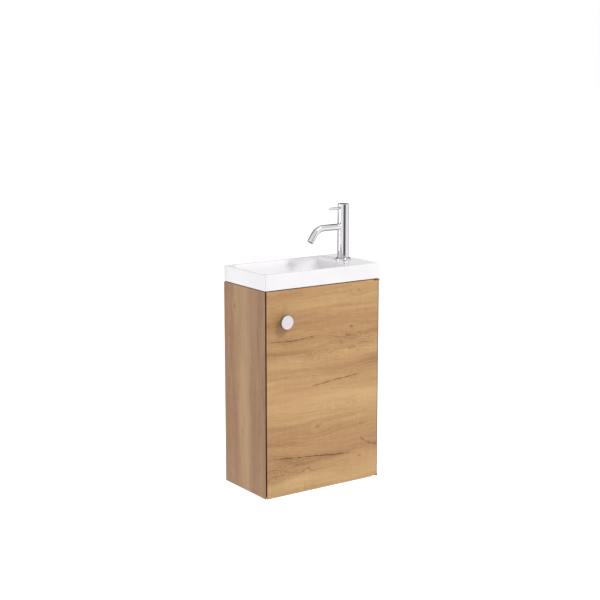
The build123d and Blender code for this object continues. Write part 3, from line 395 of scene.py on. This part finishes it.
        # Painted shade: darker brown along the board's edges, where the gaps between parts fall in shade
        for axis, place, width in edges:
            off = self.apart(self.axis[axis], place)
            share = self.smooth(off, width * 0.4, width * 1.3, GAP_SHADE_SHARE, 0.0)
            colour = self.mix(share, colour, OAK_GAP_SHADE)
        self.finish("Base Color", self.mix(1.0, colour, (*shade, 1.0), "MULTIPLY"))

        self.finish("Roughness", self.blend_in(layers["streak"], 0.18, 0.40))
        relief = self.add(self.times(layers["streak"], 0.6), self.times(layers["line"], 0.4))
        relief = self.minus(relief, self.times(pore, 0.8))
        relief = self.minus(relief, self.times(self.dark, 1.5))
        self.bump(relief, OAK_RELIEF, 0.6)


def oak(name, along, across, seed, knots=(), cracks=(), tones=(), edges=(), flames=(), flake_bands=(),
        streaks=(), shade=PLAIN_SHADE):
    """An oak-look material.

    A knot is (along, across, radius, darkness). A crack is (start along, start across, end along, end
    across, bow, half width, darkness). tones are (place across, share of light wood) from low to high.
    An edge is (axis, place, width), where a painted shade of the gap darkens the board. A flame is
    (along, across, half length, half width). A flake band is (low, high) across. A streak is (across,
    half width, strength) of redder wood.
    """
    board = Oak(name, along, across, seed)
    board.add_flames(flames)
    for knot in knots:
        board.add_knot(*knot)
    for crack in cracks:
        board.add_crack(*crack)
    board.paint(tones, flake_bands, streaks, edges, shade)
    return board.material


def at(left, height):
    """A place on the door, measured from its left edge and the cabinet's underside, in millimetres."""
    return left_low.x + left / 1000, left_low.z + height / 1000


def door_decor():
    """Horizontal grain with long cracks, small knots and a swirl on the right."""
    knots = (
        (*at(298, 472), 0.006, 0.55),
        (*at(264, 431), 0.005, 0.35),
        (*at(324, 579), 0.007, 0.20),
        (*at(179, 189), 0.007, 0.35),
        (*at(333, 174), 0.005, 0.45),
        (*at(331, 75), 0.006, 0.35),
        (*at(30, 63), 0.010, 0.20),
    )
    cracks = (
        (*at(2, 459), *at(190, 463), -0.007, 0.0016, 0.72),
        (*at(150, 309), *at(352, 326), 0.004, 0.0016, 0.72),
        (*at(14, 116), *at(318, 87), 0.000, 0.0019, 0.88),
        (*at(318, 420), *at(392, 414), 0.002, 0.0012, 0.45),
        (*at(330, 134), *at(408, 102), -0.009, 0.0017, 0.72),
    )
    heights = (
        (0, 0.66), (60, 0.54), (110, 0.38), (165, 0.33), (205, 0.42), (262, 0.90), (294, 0.88),
        (345, 0.42), (385, 0.54), (415, 0.46), (465, 0.38), (500, 0.50), (535, 0.40), (603, 0.72),
    )
    tones = [(left_low.z + height / 1000, share) for height, share in heights]
    # Painted gap shade along the door's left, right and top edges
    edges = ((0, door_low.x, 0.0012), (0, door_high.x, 0.0020), (2, door_high.z, 0.0006))
    flames = (
        (*at(300, 430), 0.115, 0.042),
        (*at(90, 75), 0.120, 0.034),
        (*at(195, 396), 0.090, 0.026),
    )
    flake_bands = ((left_low.z + 0.228, left_low.z + 0.302),)
    return oak("oak_door", 0, 2, 2.0, knots, cracks, tones, edges, flames, flake_bands)


def side_decor(name, seed, low):
    """Vertical grain with a pale band down the middle of the panel, whose lowest corner is low, darkened
    as a whole by painted shade.
    """
    front = door_low.y
    shares = ((0.0, 0.26), (0.28, 0.30), (0.44, 0.82), (0.62, 0.80), (0.78, 0.44), (1.0, 0.34))
    tones = [(front - front * share, light) for share, light in shares]
    knots = ((low.z + 0.539, front + 0.165, 0.006, 0.30), (low.z + 0.210, front + 0.120, 0.006, 0.12))
    # Painted shade along the side panel's front and bottom edges
    edges = ((1, low.y, 0.0012), (2, low.z, 0.0008))
    streaks = ((front + 0.050, 0.014, 0.55), (front + 0.172, 0.008, 0.35))
    # The side panels' decor is darkened by painted shade
    return oak(name, 2, 1, seed, knots, (), tones, edges, streaks=streaks, shade=SIDE_PAINTED_SHADE)


def board_decor(name, along, across, seed):
    """Plain oak decor for the boards inside."""
    return oak(name, along, across, seed, shade=INNER_SHADE)


def glaze():
    """White vitreous glaze: glossy, faintly uneven, with painted shade at the outline's vertical edges
    and in the bowl.
    """
    graph = Graph("glaze", Roughness=0.09, IOR=1.5, Coat_Weight=0.4, Coat_Roughness=0.03)
    patch = graph.speckle(9.0, 4.0)
    colour = graph.mix(graph.smooth(patch, 0.35, 0.7), GLAZE, GLAZE_PATCH)
    centre = (basin_low + basin_high) / 2
    half = (basin_high - basin_low) / 2
    x, y, z = graph.axes()
    from_side = graph.minus(half.x, graph.apart(x, centre.x))
    from_front = graph.minus(half.y, graph.apart(y, centre.y))
    corner = graph.math("MAXIMUM", from_side, from_front)
    # Painted shade: a grey line down the basin's vertical edges, where the rounded corners would reflect
    # darker surroundings
    colour = graph.mix(graph.smooth(corner, *EDGE_SHADE_IN, EDGE_SHADE_SHARE, 0.0), colour, GLAZE_EDGE_SHADE)
    edge = graph.math("MINIMUM", from_side, from_front)
    inside = graph.smooth(edge, RIM_IN * 0.6, RIM_IN)
    deck_z = basin_high.z
    # Painted shade on the bowl's walls, greyer with depth below the deck
    deep = graph.smooth(z, deck_z - BOWL_SHADE_TO, deck_z - BOWL_SHADE_FROM, 1.0, 0.0)
    graph.finish("Base Color", graph.mix(graph.times(inside, deep), colour, GLAZE_BOWL_SHADE))
    uneven = graph.add(graph.speckle(60.0, 1.0, 1.0), graph.times(patch, 2.0))
    graph.bump(uneven, GLAZE_RELIEF, 0.25)
    return graph.material


def dimmed(colour, share):
    """A colour times a share, at full opacity."""
    return (*(channel * share for channel in colour[:3]), 1.0)


def metal(name, colour, roughness, fleck, scale=140.0, edge=1.0):
    """A metal finish with slight unevenness in its polish, and its share of reflection at the edges."""
    graph = Graph(name, Metallic=1.0, Specular_Tint=(edge, edge, edge, 1.0))
    uneven = graph.speckle(scale, 2.0, 3.0)
    share = graph.smooth(uneven, 0.3, 0.75, 0.0, 0.6)
    graph.finish("Base Color", graph.mix(share, colour, dimmed(colour, 0.90)))
    graph.finish("Roughness", graph.blend_in(uneven, fleck, roughness))
    graph.bump(uneven, METAL_RELIEF, 0.5)
    return graph.material


def plastic(name, colour, roughness, grain=900.0, coat=0.0):
    """Moulded plastic, rubber or lacquer with a fine eroded grain."""
    graph = Graph(name, Coat_Weight=coat, Coat_Roughness=0.2)
    uneven = graph.speckle(grain, 5.0)
    cloud = graph.smooth(graph.speckle(25.0, 8.0), 0.35, 0.7)
    graph.finish("Base Color", graph.mix(cloud, colour, dimmed(colour, 0.975)))
    graph.finish("Roughness", graph.blend_in(uneven, 0.12, roughness))
    graph.bump(uneven, PLASTIC_RELIEF, 0.6)
    return graph.material


def brushed_face():
    """Satin metal turned on a lathe: fine rings round the knob's axis, with painted shade darkening the
    rim.
    """
    centre = (knob_low + knob_high) / 2
    radius = (knob_high.x - knob_low.x) / 2
    graph = Graph("knob_satin", Metallic=1.0, Anisotropic=0.4)
    x, y, z = graph.axes()
    reach = graph.math("SQRT", graph.squares(graph.minus(x, centre.x), graph.minus(z, centre.z)))
    place = graph.vector(graph.times(reach, KNOB_RINGS), graph.times(y, KNOB_RINGS), 0.0)
    rings = graph.noise(place, 3.0)
    colour = graph.mix(rings, KNOB_DARK, KNOB_LIGHT)
    # Painted shade: a darker band round the knob's rim
    rim_shade = graph.smooth(reach, radius - KNOB_RIM_SHADE_IN[0], radius - KNOB_RIM_SHADE_IN[1])
    graph.finish("Base Color", graph.mix(rim_shade, colour, KNOB_RIM_SHADE))
    graph.finish("Roughness", graph.blend_in(rings, 0.12, 0.30))
    graph.bump(rings, KNOB_RELIEF, 0.5)
    return graph.material


def dress(names, material):
    """Give CAD nodes a material in every slot."""
    for name in names:
        mesh = nodes[name].data
        if not mesh.materials:
            mesh.materials.append(material)
        for index in range(len(mesh.materials)):
            mesh.materials[index] = material


def dress_all():
    """A finish for every CAD node, from its material slot in the record."""
    finish = {
        "ceramic": glaze(),
        "chrome": metal("chrome", srgb(216, 214, 217), 0.035, 0.03, edge=0.35),
        "hinge_lacquer": plastic("hinge_lacquer", srgb(172, 130, 84), 0.40),
        "zinc_steel": metal("zinc", srgb(186, 190, 196), 0.30, 0.20, 260.0),
        "brass": metal("brass", srgb(214, 178, 104), 0.24, 0.18),
        "brushed_knob": brushed_face(),
        "back_board": plastic("back_board", srgb(226, 224, 219), 0.52, 500.0),
        "beech": board_decor("beech", 0, 1, 31.0),
        # Painted shade: the sealant bead is near-black to stand for the shadow gap under the basin
        "sealant": plastic("sealant", srgb(52, 44, 38), 0.55),
        "black_rubber": plastic("black_rubber", srgb(34, 34, 35), 0.60),
        "clear_rubber": plastic("clear_rubber", srgb(214, 214, 210), 0.30),
        "nylon": plastic("nylon", srgb(228, 226, 216), 0.42),
        "aerator_plastic": plastic("aerator_plastic", srgb(104, 107, 112), 0.45),
        "white_plastic": plastic("white_plastic", srgb(232, 232, 230), 0.40),
        "trap_plastic": plastic("trap_plastic", srgb(238, 238, 235), 0.26, coat=0.2),
    }
    for part in frame["record"]["subparts"]:
        slot = part["material_slot"]
        if slot in finish:
            dress([part["node"]], finish[slot])
    dress(["door_panel"], door_decor())
    dress(["side_panel_left"], side_decor("oak_left_painted_shade", 7.0, left_low))
    dress(["side_panel_right"], side_decor("oak_right_painted_shade", 17.0, right_low))
    dress(["bottom_panel", "shelf"], board_decor("oak_flat", 0, 1, 23.0))
    dress(["front_top_rail", "rear_top_rail"], board_decor("oak_rail", 0, 2, 27.0))


def link(name, data):
    """A new object in the scene."""
    thing = bpy.data.objects.new(name, data)
    bpy.context.scene.collection.objects.link(thing)
    return thing


def make_camera():
    """The photograph's viewing angle."""
    data = bpy.data.cameras.new("camera")
    camera = link("camera", data)
    data.lens = CAMERA_LENS
    camera.location = CAMERA_AT
    camera.rotation_euler = (math.pi / 2 - CAMERA_PITCH, 0, -CAMERA_YAW)
    bpy.context.scene.camera = camera


def make_world():
    """Even soft light, and plain white where the camera or a reflection sees past the object."""
    world = bpy.data.worlds.new("studio")
    bpy.context.scene.world = world
    world.use_nodes = True
    tree = world.node_tree
    background = tree.nodes["Background"]
    background.inputs["Color"].default_value = WHITE
    path = tree.nodes.new("ShaderNodeLightPath")
    seen = path.outputs["Is Camera Ray"]
    for ray in ("Is Glossy Ray", "Is Transmission Ray"):
        either = tree.nodes.new("ShaderNodeMath")
        either.operation = "MAXIMUM"
        tree.links.new(seen, either.inputs[0])
        tree.links.new(path.outputs[ray], either.inputs[1])
        seen = either.outputs[0]
    strength = tree.nodes.new("ShaderNodeMapRange")
    tree.links.new(seen, strength.inputs["Value"])
    strength.inputs["To Min"].default_value = WORLD_LIGHT
    strength.inputs["To Max"].default_value = 1.0
    tree.links.new(strength.outputs[0], background.inputs["Strength"])


def lamp(name, place, aim, size, energy):
    """A soft square lamp that faces a point."""
    data = bpy.data.lights.new(name, "AREA")
    data.shape = "SQUARE"
    data.size = size
    data.energy = energy
    light = link(name, data)
    light.location = place
    light.rotation_euler = (Vector(aim) - Vector(place)).to_track_quat("-Z", "Y").to_euler()


def level_sheet(name, segments, half_side):
    """A flat square of mesh, as an object in the scene."""
    mesh = bpy.data.meshes.new(name)
    build = bmesh.new()
    bmesh.ops.create_grid(build, x_segments=segments, y_segments=segments, size=half_side)
    build.to_mesh(mesh)
    build.free()
    return link(name, mesh)


def make_floor():
    """A wide pale floor below the hanging unit."""
    floor = level_sheet("floor", 8, FLOOR_HALF)
    floor.location = (0, 0, left_low.z - FLOOR_DROP)
    graph = Graph("floor", Roughness=0.9, Specular_IOR_Level=0.1, Emission_Color=(1.0, 0.995, 1.0, 1.0))
    tint = graph.speckle(2.0, 1.0)
    graph.finish("Base Color", graph.mix(tint, srgb(250, 249, 250), srgb(247, 246, 247)))
    path = graph.make("LightPath")
    seen = graph.math("MAXIMUM", path.outputs["Is Camera Ray"], path.outputs["Is Glossy Ray"])
    graph.finish("Emission Strength", graph.times(seen, FLOOR_GLOW))
    floor.data.materials.append(graph.material)


def reflection_card(name, place, size, shade, tilt):
    """A studio card, dark or pale, that only reflections see."""
    card = level_sheet(name, 1, 0.5)
    card.location = place
    card.scale = (*size, 1)
    card.rotation_euler = (math.radians(tilt), 0, 0)
    graph = Graph(name, Roughness=1.0, Specular_IOR_Level=0.0, Base_Color=(shade, shade, shade, 1.0))
    card.data.materials.append(graph.material)
    card.visible_camera = False
    card.visible_diffuse = False
    card.visible_shadow = False
    card.visible_transmission = False


make_camera()
bpy.context.scene.view_settings.view_transform = "Standard"
make_world()
make_floor()
for settings in LAMPS:
    lamp(*settings)
for settings in CARDS:
    reflection_card(*settings)
dress_all()
